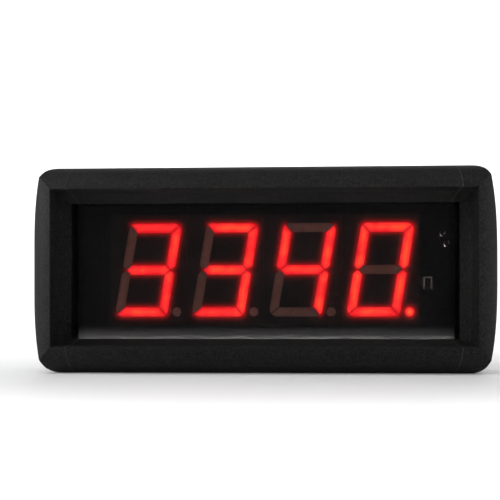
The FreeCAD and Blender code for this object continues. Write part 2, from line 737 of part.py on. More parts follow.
def make_cap_screws(d):
    """Four self-tapping pan-head screws through each end cap into the rails' ports."""
    screws = []
    seat = head_seat(d)
    for side, word in ((1, "right"), (-1, "left")):
        for y in (d.front_port, d.rear_port):
            for z in (d.port_inset, d.case_height - d.port_inset):
                name = f"{word}_screw_{len(screws)}"
                shank = rod(f"{name}_shank", "x", (y, z), *both(side, d.seam_half - d.screw_bite, seat),
                            d.screw_radius)
                face = seat + d.screw_head_height
                head = rod(f"{name}_head", "x", (y, z), *both(side, seat, face), d.screw_head_radius)
                depth = both(side, face - d.screw_slot_depth, face + BEYOND)
                reach = d.screw_slot_length / 2
                half = d.screw_slot_width / 2
                upright = block(f"{name}_upright", depth, (y - half, y + half), (z - reach, z + reach))
                level = block(f"{name}_level", depth, (y - reach, y + reach), (z - half, z + half))
                screws.append(carve(name, join(f"{name}_blank", shank, head), upright, level))
    keep("cap_screws", gather("cap_screws_set", screws))


def make_window(d):
    """The smoked window, pushed forward against the bevel by a foam seal."""
    inset = d.window_groove + d.window_slack
    across = (-(d.side - inset), d.side - inset)
    up = (inset, d.case_height - inset)
    body = new_body("front_window")
    pad(body, "window_sheet", "y", [rounded(across, up, d.window_corner)], d.window_front, d.window_back)
    keep("front_window", body)
    inner = inset + d.seal_width
    seal = new_body("window_seal")
    pad(seal, "seal_frame", "y", [rounded(across, up, d.window_corner), window_rectangle(d, inner)],
        d.window_back, d.seal_back)
    keep("window_seal", seal)


def make_back_panel(d):
    """The sheet-metal back, held in the grooves of rails and caps, and the holes through it."""
    inset = d.wall + d.panel_slack
    outline = loop(*barrel_side(d, 1, inset), *reversed_corners(barrel_side(d, -1, inset)))
    body = new_body("back_panel")
    pad(body, "panel_sheet", "y", [outline], d.panel_front, d.panel_back)
    through = (d.panel_front - BEYOND, d.panel_back + BEYOND)
    keys = [ring(key_x(d, i), d.key_z, d.key_radius + d.key_hole_slack) for i in range(KEY_COUNT)]
    half_width = d.rocker_body_width / 2 + d.rocker_hole_slack
    half_height = d.rocker_body_height / 2 + d.rocker_hole_slack
    rocker = rectangle((d.rocker_x - half_width, d.rocker_x + half_width),
                       (d.inlet_z - half_height, d.inlet_z + half_height))
    socket = ring(d.socket_x, d.inlet_z, d.bushing_radius + d.bushing_slack)
    grommet = ring(d.grommet_x, d.inlet_z, d.grommet_neck + d.grommet_slack)
    vents = [ring(d.buzzer_x, d.buzzer_z, d.vent_radius)]
    for turn in range(VENT_COUNT):
        angle = 2 * math.pi * turn / VENT_COUNT
        vents.append(ring(d.buzzer_x + d.vent_ring * math.cos(angle),
                          d.buzzer_z + d.vent_ring * math.sin(angle), d.vent_radius))
    pocket(body, "panel_holes", "y", [*keys, rocker, socket, grommet, *vents], *through)
    entries = [ring(d.keyhole_x * side, d.keyhole_z, d.keyhole_radius) for side in (-1, 1)]
    pocket(body, "keyhole_entries", "y", entries, *through)
    slots = []
    for side in (-1, 1):
        x = d.keyhole_x * side
        slots.append(rounded((x - d.keyhole_slot_radius, x + d.keyhole_slot_radius),
                             (d.keyhole_z, d.keyhole_z + d.keyhole_rise + d.keyhole_slot_radius),
                             d.keyhole_slot_radius * SLOT_ROUNDNESS))
    pocket(body, "keyhole_slots", "y", slots, *through)
    keep("back_panel", body)


def reversed_corners(corners):
    """The same corners the other way round, each arc moved to the corner that now starts it."""
    bends = [corner[2] if len(corner) > 2 else None for corner in corners]
    turned = []
    for i in range(len(corners) - 1, -1, -1):
        bend = bends[i - 1] if i > 0 else None
        turned.append((*corners[i][:2], -bend) if bend is not None else corners[i][:2])
    return turned


# ---------------------------------------------------------------- digits
def digit_x(d, index):
    return d.digit_pitch * (index - (DIGIT_COUNT - 1) / 2)


def segment_corners(d, letter, slack):
    """One segment's corners on an upright figure centred on the origin, grown by slack."""
    w, h = d.glyph_width / 2 + slack, d.glyph_height / 2 + slack
    s = d.stroke + slack * 2
    q = (d.stroke_gap - slack * 2) / sized(2).root()
    t, c = d.tip_gap - slack, d.tip_chamfer
    if letter in "ad":
        corners = [(q - w, h), (w - q, h), (w - s - q, h - s), (s + q - w, h - s)]
    elif letter == "g":
        corners = [(s / 2 + q - w, 0), (s + q - w, s / 2), (w - s - q, s / 2), (w - s / 2 - q, 0),
                   (w - s - q, -s / 2), (s + q - w, -s / 2)]
    else:
        corners = [(w, h - q), (w, t + c), (w - c, t), (w - s / 2 - t + q, t), (w - s, s / 2 + q),
                   (w - s, h - s - q)]
    flip_u = -1 if letter in "ef" else 1
    flip_v = -1 if letter in "dce" else 1
    return [(sized(u) * flip_u, sized(v) * flip_v) for u, v in corners]


def make_segments(d, name, index, letters, slack):
    """The light pipes of some segments of one digit, or with slack the wells that hold them."""
    centre = digit_x(d, index)
    lean = d.slant.tangent()

    def leaned(u, v):
        return (centre + u + v * lean, d.digit_middle + v)

    strokes = [letter for letter in letters if letter != "p"]
    start, end = d.module_front - slack, d.module_front + d.segment_depth + slack
    body = new_body(name)
    if strokes:
        loops = [loop(*[leaned(u, v) for u, v in segment_corners(d, letter, slack)]) for letter in strokes]
        pad(body, f"{name}_strokes", "y", loops, start, end)
        if any(letter in "abcdef" for letter in strokes):
            round_figure(d, body, name, leaned, slack, start, end)
    if "p" in letters:
        point = ring(centre + d.point_across, d.digit_middle - d.point_below, d.point_radius + slack)
        pad(body, f"{name}_point", "y", [point], start, end)
    return body


def round_figure(d, body, name, leaned, slack, start, end):
    """Trims the strokes to a leaning outline with round corners."""
    lean = d.slant.tangent()
    side_length = (lean * lean + 1).root()
    sharp = d.glyph_corner * (side_length - lean)
    blunt = d.glyph_corner * (side_length + lean)

    def along_side(distance):
        return distance / side_length

    w, h, radius = d.glyph_width / 2 + slack, d.glyph_height / 2 + slack, d.glyph_corner
    outline = loop(
        leaned(blunt - w, -h), (*leaned(w - sharp, -h), radius),
        leaned(w, along_side(sharp) - h), (*leaned(w, h - along_side(blunt)), radius),
        leaned(w - blunt, h), (*leaned(sharp - w, h), radius),
        leaned(-w, h - along_side(sharp)), (*leaned(-w, along_side(blunt) - h), radius))
    margin = d.module_width
    x, z = leaned(sized(0), sized(0))
    around = rectangle((x - margin, x + margin), (z - margin, z + margin))
    pocket(body, f"{name}_corners", "y", [around, outline], start - BEYOND, end + BEYOND)


def pin_places(d, index):
    centre = digit_x(d, index)
    columns = [column - (PIN_COLUMNS - 1) / 2 for column in range(PIN_COLUMNS)]
    return [(centre + d.pin_pitch * column, d.digit_middle + d.pin_row * row)
            for row in (-1, 1) for column in columns]


def make_digit(d, index):
    """One LED module: its shell, the lit and unlit light pipes, and its pins."""
    name = f"digit_{index + 1}"
    lit = LIT[index]
    unlit = "".join(letter for letter in ALL_SEGMENTS if letter not in lit)
    keep(f"{name}_lit_segments", make_segments(d, f"{name}_lit", index, lit, 0))
    keep(f"{name}_unlit_segments", make_segments(d, f"{name}_unlit", index, unlit, 0))
    wells = make_segments(d, f"{name}_wells", index, ALL_SEGMENTS, d.segment_slack)
    centre = digit_x(d, index)
    half = d.module_width / 2
    shell = block(f"{name}_shell", (centre - half, centre + half), (d.module_front, d.board_front),
                  (d.digit_middle - d.module_height / 2, d.digit_middle + d.module_height / 2))
    pins = []
    holes = []
    for number, place in enumerate(pin_places(d, index), 1):
        root = d.board_front - d.pin_root
        pins.append(rod(f"{name}_pin_{number}", "y", place, root, d.board_back + d.pin_tail, d.pin_radius))
        holes.append(rod(f"{name}_pin_hole_{number}", "y", place, root, d.board_front + BEYOND,
                         d.pin_radius + d.pin_slack))
    keep(f"{name}_body", carve(f"{name}_bored", shell, wells, *holes))
    keep(f"{name}_pins", gather(f"{name}_pin_set", pins))


# ---------------------------------------------------------------- board and what is on it
def make_board(d):
    """The one circuit board, slid into the rails' grooves and drilled for the modules' pins."""
    low, high = d.board_edge, d.case_height - d.board_edge
    outline = rectangle((-d.board_half, d.board_half), (low, high))
    places = [place for index in range(DIGIT_COUNT) for place in pin_places(d, index)]
    holes = [ring(*place, d.pin_radius + d.pin_hole_slack) for place in places]
    body = new_body("display_board")
    pad(body, "board_sheet", "y", [outline, *holes], d.board_front, d.board_back)
    keep("display_board", body)


def make_receiver(d):
    """An infrared receiver with its half-round lens, in a folded tin shield that is open below."""
    x, z = d.receiver_x, d.receiver_z
    back = d.board_front - d.receiver_standoff
    face = back - d.receiver_depth
    half = d.receiver_width / 2
    case = block("receiver_case", (x - half, x + half), (face, back),
                 (z - d.receiver_height / 2, z + d.receiver_height / 2))
    lens = ball("receiver_lens", x, face, z, d.receiver_lens_radius)
    keep("infrared_receiver", join("receiver_whole", case, lens))
    low, high = z - d.shield_height / 2, z + d.shield_height / 2
    outer = d.shield_width / 2
    inner = outer - d.shield_wall
    fold = loop((x - outer, low), (x - inner, low), (x - inner, high - d.shield_wall),
                (x + inner, high - d.shield_wall), (x + inner, low), (x + outer, low), (x + outer, high),
                (x - outer, high))
    body = new_body("receiver_shield")
    pad(body, "shield_fold", "y", [fold], d.board_front - d.shield_depth, d.board_front)
    keep("receiver_shield", body)


def make_dome(d, node, x, z):
    """A clear domed 3 mm package on the front of the board."""
    face = d.board_front - d.dome_height
    barrel = rod(f"{node}_barrel", "y", (x, z), face, d.board_front, d.dome_radius)
    rim = rod(f"{node}_rim", "y", (x, z), d.board_front - d.dome_rim_height, d.board_front, d.dome_rim_radius)
    keep(node, join(f"{node}_whole", barrel, rim, ball(f"{node}_top", x, face, z, d.dome_radius)))


def flat_part(d, name, x, z, width, height, thickness):
    """A block soldered to the back of the board, centred on x and z."""
    return block(name, (x - width / 2, x + width / 2), (d.mount_plane, d.mount_plane + thickness),
                 (z - height / 2, z + height / 2))


def lead_row(d, name, x, z, reach, count, pitch, along):
    """Two rows of flat leads, either side of a chip; along is the axis that the rows follow."""
    leads = []
    for side in (-1, 1):
        near, far = both(side, reach, reach + d.lead_reach)
        for number in range(int(count.value)):
            step = pitch * (number - (count - 1) / 2)
            span = (step - d.lead_width / 2, step + d.lead_width / 2)
            across = (near, far)
            us, vs = (span, across) if along == "x" else (across, span)
            leads.append(block(f"{name}_{along}{side}_{number}", (x + us[0], x + us[1]),
                               (d.mount_plane, d.mount_plane + d.lead_thickness), (z + vs[0], z + vs[1])))
    return leads


def make_chips(d):
    """The microcontroller in the middle and a display driver each side of it."""
    keep("microcontroller", flat_part(d, "controller_case", d.chip_x, d.chip_z, d.chip_side, d.chip_side,
                                      d.chip_height))
    leads = []
    for along in "xz":
        leads += lead_row(d, "controller_lead", d.chip_x, d.chip_z, d.chip_side / 2, d.chip_leads_per_side,
                          d.chip_lead_pitch, along)
    keep("microcontroller_leads", gather("controller_leads", leads))
    cases = []
    leads = []
    for side, word in ((-1, "left"), (1, "right")):
        x = d.driver_x * side
        cases.append(flat_part(d, f"{word}_driver", x, d.driver_z, d.driver_width, d.driver_length,
                               d.driver_height))
        leads += lead_row(d, f"{word}_driver_lead", x, d.driver_z, d.driver_width / 2,
                          d.driver_leads_per_side, d.driver_lead_pitch, "z")
    keep("driver_chips", gather("driver_cases", cases))
    keep("driver_chip_leads", gather("driver_leads", leads))


def make_resistors(d):
    """Eight chip resistors in a column, one for each segment line."""
    parts = [flat_part(d, f"resistor_{i}", d.resistor_x, d.resistor_z + d.resistor_pitch * i,
                       d.resistor_length, d.resistor_width, d.resistor_height)
             for i in range(RESISTOR_COUNT)]
    keep("segment_resistors", gather("resistor_column", parts))


def make_crystal(d):
    """A clock crystal: a long can with round ends on a slightly wider foot."""
    def lozenge(extra):
        half = d.crystal_length / 2 + extra
        radius = d.crystal_width / 2 + extra
        x, z = d.crystal_x, d.crystal_z
        return loop((x - half + radius, z - radius), (x + half - radius, z - radius, radius),
                    (x + half, z, radius), (x + half - radius, z + radius),
                    (x - half + radius, z + radius, radius), (x - half, z, radius))

    body = new_body("clock_crystal")
    pad(body, "crystal_foot", "y", [lozenge(d.crystal_rim)], d.mount_plane, d.mount_plane + d.crystal_rim)
    pad(body, "crystal_can", "y", [lozenge(0)], d.mount_plane, d.mount_plane + d.crystal_height)
    keep("clock_crystal", body)


def make_power_parts(d):
    """The regulator with its tab, the drum inductor and two lying capacitors."""
    x, z = d.regulator_x, d.regulator_z
    case = flat_part(d, "regulator_case", x, z, d.regulator_width, d.regulator_length, d.regulator_height)
    top = z + d.regulator_length / 2
    half = d.regulator_width / 2
    tab = block("regulator_tab_plate", (x - half, x + half),
                (d.mount_plane, d.mount_plane + d.regulator_tab_thickness), (top, top + d.regulator_tab))
    keep("voltage_regulator", join("regulator_whole", case, tab))
    across = (d.inductor_x, d.inductor_z)
    base = flat_part(d, "inductor_foot", *across, d.inductor_side, d.inductor_side, d.inductor_base)
    floor = d.mount_plane + d.inductor_base
    top = d.mount_plane + d.inductor_height
    waist = rod("inductor_winding", "y", across, floor, top, d.inductor_waist)
    lower = rod("inductor_lower_flange", "y", across, floor, floor + d.inductor_flange, d.inductor_radius)
    upper = rod("inductor_upper_flange", "y", across, top - d.inductor_flange, top, d.inductor_radius)
    keep("power_inductor", join("inductor_whole", base, waist, lower, upper))
    cans = []
    for number in range(CAPACITOR_COUNT):
        foot = d.capacitor_z + d.capacitor_step * number
        across = (d.capacitor_x, d.mount_plane + d.capacitor_radius)
        can = rod(f"capacitor_{number}", "z", across, foot, foot + d.capacitor_length, d.capacitor_radius)
        groove = foot + d.capacitor_groove_up
        outer = rod(f"capacitor_groove_outer_{number}", "z", across, groove,
                    groove + d.capacitor_groove_width, d.capacitor_radius + BEYOND)
        inner = rod(f"capacitor_groove_inner_{number}", "z", across, groove - BEYOND,
                    groove + d.capacitor_groove_width + BEYOND, d.capacitor_radius - d.capacitor_groove)
        cans.append(carve(f"capacitor_can_{number}", can, carve(f"capacitor_crimp_{number}", outer, inner)))
    keep("filter_capacitors", gather("capacitor_pair", cans))


def make_buzzer(d):
    across = (d.buzzer_x, d.buzzer_z)
    top = d.mount_plane + d.buzzer_height
    drum = rod("buzzer_drum", "y", across, d.mount_plane, top, d.buzzer_radius)
    port = rod("buzzer_port", "y", across, top - d.buzzer_port_depth, top + BEYOND, d.buzzer_port_radius)
    keep("buzzer", carve("buzzer_whole", drum, port))


def make_coin_cell(d):
    """The clock's backup cell, and the strap that holds it down."""
    x, z = d.cell_x, d.cell_z
    top = d.mount_plane + d.cell_thickness
    lower = rod("cell_cup", "y", (x, z), d.mount_plane + d.cell_step, top, d.cell_radius)
    upper = rod("cell_lid", "y", (x, z), d.mount_plane, d.mount_plane + d.cell_step, d.cell_step_radius)
    keep("coin_cell", join("cell_whole", lower, upper))
    half = d.clip_width / 2
    reach = d.cell_radius + d.clip_slack
    over = top + d.clip_slack
    outer = reach + d.clip_thickness
    foot = outer + d.clip_foot
    strap = loop(
        (x - foot, d.mount_plane), (x - reach, d.mount_plane), (x - reach, over), (x + reach, over),
        (x + reach, d.mount_plane), (x + foot, d.mount_plane), (x + foot, d.mount_plane + d.clip_thickness),
        (x + outer, d.mount_plane + d.clip_thickness), (x + outer, over + d.clip_thickness),
        (x - outer, over + d.clip_thickness), (x - outer, d.mount_plane + d.clip_thickness),
        (x - foot, d.mount_plane + d.clip_thickness))
    body = new_body("coin_cell_clip")
    pad(body, "clip_strap", "z", [strap], z - half, z + half)
    keep("coin_cell_clip", body)


# ---------------------------------------------------------------- keys
def key_x(d, index):
    return d.key_first_x + d.key_pitch * index


def make_keys(d):
    """Four keys through the back panel, each on the stem of a tact switch on the board."""
    switches = []
    top = d.mount_plane + d.switch_height
    for index in range(KEY_COUNT):
        x, z = key_x(d, index), d.key_z
        number = index + 1
        case = flat_part(d, f"switch_case_{number}", x, z, d.switch_side, d.switch_side, d.switch_height)
        hole = rod(f"switch_hole_{number}", "y", (x, z), top - d.stem_sunk - d.stem_room, top + BEYOND,
                   d.stem_radius + d.stem_slack)
        switches.append(carve(f"switch_{number}", case, hole))
        keep(f"key_stem_{number}", rod(f"stem_{number}", "y", (x, z), top - d.stem_sunk, d.key_bottom,
                                       d.stem_radius))
        body = new_body(f"key_{number}")
        pad(body, f"key_{number}_collar", "y", [ring(x, z, d.key_flange_radius)], d.key_bottom,
            d.key_bottom + d.key_flange)
        pad(body, f"key_{number}_cap", "y", [ring(x, z, d.key_radius)], d.key_bottom,
            d.panel_back + d.key_proud)

        def rim(edge, _, face=d.panel_back + d.key_proud):
            return abs(edge.BoundBox.YMin - face.value) < 0.001

        fillet(body, f"key_{number}_rim", d.key_edge_radius, rim)
        keep(f"key_{number}", body)
    keep("key_switches", gather("switch_row", switches))


# ---------------------------------------------------------------- power switch, power inlet, cable inlet
def make_rocker(d):
    """The snap-in power switch: housing, paddle on two stubs, and its two terminals."""
    x, z = d.rocker_x, d.inlet_z
    inner = d.panel_back - d.rocker_body_depth
    half_width, half_height = d.rocker_flange_width / 2, d.rocker_flange_height / 2
    flange = block("rocker_flange_plate", (x - half_width, x + half_width),
                   (d.panel_back, d.panel_back + d.rocker_flange), (z - half_height, z + half_height))
    half_width, half_height = d.rocker_body_width / 2, d.rocker_body_height / 2
    case = block("rocker_case", (x - half_width, x + half_width), (inner, d.panel_back),
                 (z - half_height, z + half_height))
    half = d.rocker_opening_height / 2
    opening = block("rocker_opening", (x - d.rocker_opening_half, x + d.rocker_opening_half),
                    (inner + d.rocker_floor, d.back + BEYOND), (z - half, z + half))
    reach = d.paddle_height / 2 + d.pivot_length + d.pivot_end_gap
    bearing = rod("rocker_bearing", "z", (x, d.pivot), z - reach, z + reach, d.pivot_radius + d.pivot_slack)
    keep("rocker_housing", carve("rocker_shell", join("rocker_blank", flange, case), opening, bearing))
    body = new_body("rocker_paddle")
    profile = loop((-d.paddle_root_half, -d.paddle_root), (d.paddle_root_half, -d.paddle_root),
                   (d.paddle_half, d.paddle_tip), (sized(0), d.paddle_dip), (-d.paddle_half, d.paddle_tip))
    across = d.paddle_height / 2
    pad(body, "paddle_block", "z", [profile], -across, across)
    stub = across + d.pivot_length
    pad(body, "paddle_stubs", "z", [ring(0, 0, d.pivot_radius)], -stub, stub)
    body.Placement = Placement(Vector(), Rotation(Vector(0, 0, 1), -d.rocker_tilt.value))
    put(body, x, d.pivot, z)
    bind(body, "Placement.Rotation.Angle", d.rocker_tilt)
    keep("rocker_paddle", body)
    blades = []
    top = z + d.rocker_body_height / 2
    for side, word in ((-1, "left"), (1, "right")):
        middle = x + d.blade_offset * side
        blades.append(block(f"{word}_blade", (middle - d.blade_width / 2, middle + d.blade_width / 2),
                            (d.lead_plane - d.blade_thickness / 2, d.lead_plane + d.blade_thickness / 2),
                            (top, top + d.blade_length)))
    keep("rocker_terminals", gather("blade_pair", blades))


def make_power_socket(d):
    """The power inlet: body behind the panel, threaded bushing through it, nut outside, centre contact."""
    x, z = d.socket_x, d.inlet_z
    half = d.socket_side / 2
    inner = d.panel_front - d.socket_depth
    case = block("socket_case", (x - half, x + half), (inner, d.panel_front), (z - half, z + half))
    bushing = rod("socket_bushing", "y", (x, z), d.panel_front, d.back, d.bushing_radius)
    bore = rod("socket_hole", "y", (x, z), inner + d.socket_bore_floor, d.back + BEYOND, d.socket_bore)
    keep("power_socket", carve("socket_whole", join("socket_blank", case, bushing), bore))
    keep("power_socket_pin", rod("socket_contact", "y", (x, z), inner + d.socket_bore_floor,
                                 d.back - d.contact_sunk, d.contact_radius))
    nut = hexagon("nut_blank", "y", (x, z), d.panel_back, d.back, d.nut_radius)
    thread = rod("nut_thread", "y", (x, z), d.panel_front, d.back + BEYOND,
                 d.bushing_radius + d.bushing_slack)
    keep("power_socket_nut", carve("nut_whole", nut, thread))


def make_grommet(d):
    """The rubber grommet where the vehicle's signal cable comes in."""
    across = (d.grommet_x, d.inlet_z)
    outer = rod("grommet_outer", "y", across, d.panel_back, d.back, d.grommet_flange)
    neck = rod("grommet_waist", "y", across, d.panel_front, d.panel_back, d.grommet_neck)
    inner = rod("grommet_inner", "y", across, d.panel_front - d.grommet_inner_length, d.panel_front,
                d.grommet_inner_flange)
    inner_end = d.panel_front - d.grommet_inner_length
    bore = rod("grommet_hole", "y", across, inner_end - BEYOND, d.back + BEYOND, d.grommet_bore)
    keep("cable_grommet", carve("grommet_whole", join("grommet_blank", outer, neck, inner), bore))


# ---------------------------------------------------------------- wires
def make_lead(d, name, points):
    """A wire in the plane behind the board: straight runs joined by tangent arcs, starting upwards."""
    body = new_body(name)
    path = body.newObject("Sketcher::SketchObject", f"{name}_path")
    plane = next(f for f in body.Origin.OriginFeatures if f.Role == PLANE_ROLES["y"])
    path.AttachmentSupport = [(plane, "")]
    path.MapMode = "FlatFace"
    bind(path, "AttachmentOffset.Base.z", -d.lead_plane)
    draw(path, [loop(*bent_route(d, points))], closed=False)
    start_x, start_z = points[0]
    section = sketch_on(body, f"{name}_section", "z", start_z, [ring(start_x, d.lead_plane, d.lead_radius)])
    wire = body.newObject("PartDesign::AdditivePipe", f"{name}_wire")
    wire.Profile = section
    wire.Spine = path
    return body


def bent_route(d, points):
    """The route's points with each right-angled corner replaced by the two ends of its arc."""
    route = [(sized(points[0][0]), sized(points[0][1]))]
    for before, corner, after in zip(points, points[1:], points[2:]):
        arrive = toward(corner, before, d.lead_bend)
        leave = toward(corner, after, d.lead_bend)
        turn = cross_sign(before, corner, after)
        route.append((*arrive, d.lead_bend * turn))
        route.append(leave)
    route.append((sized(points[-1][0]), sized(points[-1][1])))
    return route


def toward(corner, other, distance):
    """The point that lies distance from corner on the upright or level run to other."""
    moved = []
    for here, there in zip(corner, other):
        gap = sized(there).value - sized(here).value
        sign = 0 if abs(gap) < 1e-6 else math.copysign(1, gap)
        moved.append(sized(here) + distance * sign if sign else sized(here))
    return tuple(moved)


def cross_sign(before, corner, after):
    a, b, c = [Vector(sized(p[0]).value, sized(p[1]).value, 0) for p in (before, corner, after)]
    return math.copysign(1, (b - a).cross(c - b).z)


def make_leads(d):
    """Supply wire from the inlet to the switch, switched wire to the header, and the return wire."""
    socket_top = d.inlet_z + d.socket_side / 2
    blade_top = d.inlet_z + d.rocker_body_height / 2 + d.blade_length
    supply_x = d.socket_x + d.lead_spread
    return_x = d.socket_x - d.lead_spread
    left_blade, right_blade = d.rocker_x - d.blade_offset, d.rocker_x + d.blade_offset
    supply = make_lead(d, "supply_lead", [(supply_x, socket_top), (supply_x, d.low_route),
                                          (left_blade, d.low_route), (left_blade, blade_top)])
    switched = make_lead(d, "switched_lead", [(right_blade, blade_top), (right_blade, d.middle_route),
                                              (d.header_x, d.middle_route)])
    keep("red_leads", gather("red_lead_pair", [supply, switched]))
    keep("black_lead", make_lead(d, "return_lead", [(return_x, socket_top), (return_x, d.high_route),
                                                    (d.header_x, d.high_route)]))
    keep("lead_header", block("header_case", (d.header_x, d.header_x + d.header_width),
                              (d.mount_plane, d.mount_plane + d.header_depth),
                              (d.header_z, d.header_z + d.header_height)))


# ---------------------------------------------------------------- assembly, checks and files
def check_all():
    for thing in doc.Objects:
        if "Invalid" in thing.State or "Error" in thing.State:
            raise ValueError(f"{thing.Name} failed: {thing.State}")
    names = [thing.Label for thing in kept]
    if len(set(names)) != len(names):
        raise ValueError("two sub-parts share a name")
    for thing in kept:
        if thing.Shape.isNull() or not thing.Shape.isValid() or not thing.Shape.Solids:
            raise ValueError(f"{thing.Label} has no valid solid")


def export_all():
    os.makedirs("parts", exist_ok=True)
    for thing in kept:
        thing.Shape.exportStep(f"parts/{thing.Label}.step")


doc = FreeCAD.newDocument("TaxiMeter")
kept = []
sizes = make_sheet()
work_out_places(sizes)
make_rail(sizes, "top_rail", 1)
make_rail(sizes, "bottom_rail", -1)
make_end_cap(sizes, "left_end_cap", -1)
make_end_cap(sizes, "right_end_cap", 1)
make_cap_screws(sizes)
make_window(sizes)
make_back_panel(sizes)
for digit in range(DIGIT_COUNT):
    make_digit(sizes, digit)
make_board(sizes)
make_receiver(sizes)
make_dome(sizes, "light_sensor", sizes.sensor_x, sizes.sensor_z)
make_dome(sizes, "status_lamp", sizes.lamp_x, sizes.lamp_z)
make_chips(sizes)
make_resistors(sizes)
make_crystal(sizes)
make_power_parts(sizes)
make_buzzer(sizes)
make_coin_cell(sizes)
make_keys(sizes)
make_rocker(sizes)
make_power_socket(sizes)
make_grommet(sizes)
make_leads(sizes)
doc.recompute()
check_all()
export_all()
print(f"{len(kept)} sub-parts")
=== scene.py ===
# %% [markdown]
# # A taxi meter with a lit fare readout
# The object is a shallow black case: two aluminium rails between two moulded end caps, a sheet of
# smoked acrylic sunk behind a picture-frame face, and four red seven-segment modules behind it.
# The CAD model already has every piece in its place, so this script gives each piece its finish,
# and rebuilds only what needs a finer mesh: the light pipes and the modules' faces, which glow.

# %% Load the frame
import json
import math
import bmesh
import bpy
import numpy as np
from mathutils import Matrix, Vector


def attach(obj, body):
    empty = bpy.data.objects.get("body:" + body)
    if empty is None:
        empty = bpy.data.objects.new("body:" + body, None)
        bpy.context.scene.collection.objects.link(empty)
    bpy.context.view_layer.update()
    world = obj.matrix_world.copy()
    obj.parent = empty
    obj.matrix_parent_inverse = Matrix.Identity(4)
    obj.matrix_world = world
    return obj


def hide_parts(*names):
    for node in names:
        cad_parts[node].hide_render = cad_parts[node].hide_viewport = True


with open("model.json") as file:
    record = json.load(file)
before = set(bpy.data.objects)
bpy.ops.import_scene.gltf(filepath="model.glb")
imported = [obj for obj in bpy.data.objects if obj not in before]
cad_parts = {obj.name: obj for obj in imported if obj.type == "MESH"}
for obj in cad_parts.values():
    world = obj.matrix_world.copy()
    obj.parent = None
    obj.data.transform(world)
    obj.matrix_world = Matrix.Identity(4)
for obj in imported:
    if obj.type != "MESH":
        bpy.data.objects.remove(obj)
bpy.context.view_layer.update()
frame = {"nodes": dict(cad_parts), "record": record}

MM = 0.001
nodes = frame["nodes"]
record = frame["record"]
slot_of = {row["node"]: row["material_slot"] for row in record["subparts"]}
body_of = {node: body for body, members in record["behaviour"]["bodies"].items() for node in members}

# %% [markdown]
# ## Building a finish from nodes
# Every finish starts the same way: a Principled shader, fed by textures that are measured in the
# object's own coordinates. Those are metres here, so a noise whose scale is one over 0.4 mm has grains
# of 0.4 mm wherever the piece is, and the pattern moves with the piece when a key is pressed.

# %% Node helpers
def start_finish(name):
    material = bpy.data.materials.new(name)
    material.use_nodes = True
    tree = material.node_tree
    tree.nodes.clear()
    output = tree.nodes.new("ShaderNodeOutputMaterial")
    shader = tree.nodes.new("ShaderNodeBsdfPrincipled")
    tree.links.new(shader.outputs["BSDF"], output.inputs["Surface"])
    return material, tree, shader


def add(tree, kind, inputs=None, **settings):
    """A node with some settings, and with inputs that are numbers, colours or other nodes' outputs."""
    node = tree.nodes.new(kind)
    for name, value in settings.items():
        setattr(node, name, value)
    for name, value in (inputs or {}).items():
        if isinstance(value, bpy.types.NodeSocket):
            tree.links.new(value, node.inputs[name])
        else:
            node.inputs[name].default_value = value
    return node


def place(tree):
    return add(tree, "ShaderNodeTexCoord").outputs["Object"]


def grain(tree, size, detail=2.0, roughness=0.5, stretch=None):
    """Noise with grains of the given size in metres, drawn out along an axis by stretch=(x, y, z)."""
    where = place(tree)
    if stretch is not None:
        where = add(tree, "ShaderNodeMapping", {"Vector": where, "Scale": stretch}).outputs["Vector"]
    noise = add(tree, "ShaderNodeTexNoise",
                {"Vector": where, "Scale": 1.0 / size, "Detail": detail, "Roughness": roughness})
    return noise.outputs["Fac"]


def calculate(tree, operation, first, second=0.0):
    return add(tree, "ShaderNodeMath", {0: first, 1: second}, operation=operation).outputs[0]


def ramp(tree, value, stops):
    """A colour ramp through (position, colour) stops; a colour may be one number for grey."""
    node = add(tree, "ShaderNodeValToRGB", {"Fac": value})
    elements = node.color_ramp.elements
    while len(elements) < len(stops):
        elements.new(1.0)
    for element, (position, colour) in zip(elements, stops):
        element.position = position
        element.color = (*colour, 1.0) if hasattr(colour, "__len__") else (colour, colour, colour, 1.0)
    return node.outputs["Color"]


def between(tree, value, low, high, start=0.3, end=0.7):
    """Turns a noise value from start to end into a number from low to high."""
    node = add(tree, "ShaderNodeMapRange",
               {"Value": value, "From Min": start, "From Max": end, "To Min": low, "To Max": high})
    return node.outputs["Result"]


def relief(tree, height, depth):
    return add(tree, "ShaderNodeBump", {"Height": height, "Distance": depth}).outputs["Normal"]


def mix_colours(tree, amount, first, second, blend="MIX"):
    node = add(tree, "ShaderNodeMix", data_type="RGBA", blend_type=blend)
    for socket, value in ((node.inputs[0], amount), (node.inputs[6], first), (node.inputs[7], second)):
        if isinstance(value, bpy.types.NodeSocket):
            tree.links.new(value, socket)
        else:
            socket.default_value = (*value, 1.0) if hasattr(value, "__len__") else value
    return node.outputs[2]


def edge_mask(tree, width):
    """Near 1 along sharp edges: where a rounded normal leans away from the true one."""
    rounded = add(tree, "ShaderNodeBevel", {"Radius": width}, samples=4).outputs["Normal"]
    true = add(tree, "ShaderNodeNewGeometry").outputs["Normal"]
    dot = add(tree, "ShaderNodeVectorMath", {0: rounded, 1: true}, operation="DOT_PRODUCT").outputs["Value"]
    return between(tree, dot, 1.0, 0.0, 0.8, 0.995)


def shaded(colour, factor):
    return tuple(min(1.0, channel * factor) for channel in colour)


# %% [markdown]
# ## The black case
# The rails are powder-coated aluminium and the caps are moulded in black plastic, both with a fine
# matte texture. A flat black would look like a hole, so the colour drifts a little in broad patches,
# the roughness varies with the grain, and the sharp edges are painted a shade lighter, partly as wear
# and partly as a painted highlight. A narrow band of each cap along its seam with the rails is a
# painted highlight, lightest of all.

# %% Textured black
EDGE_WIDTH = 0.5 * MM
EDGE_WEAR_AND_HIGHLIGHT = 4.0
# Grey of the painted highlight along each cap's seam with the rails.
SEAM_HIGHLIGHT_GREY = (0.036, 0.036, 0.033)
SEAM_WIDTH = 0.45 * MM


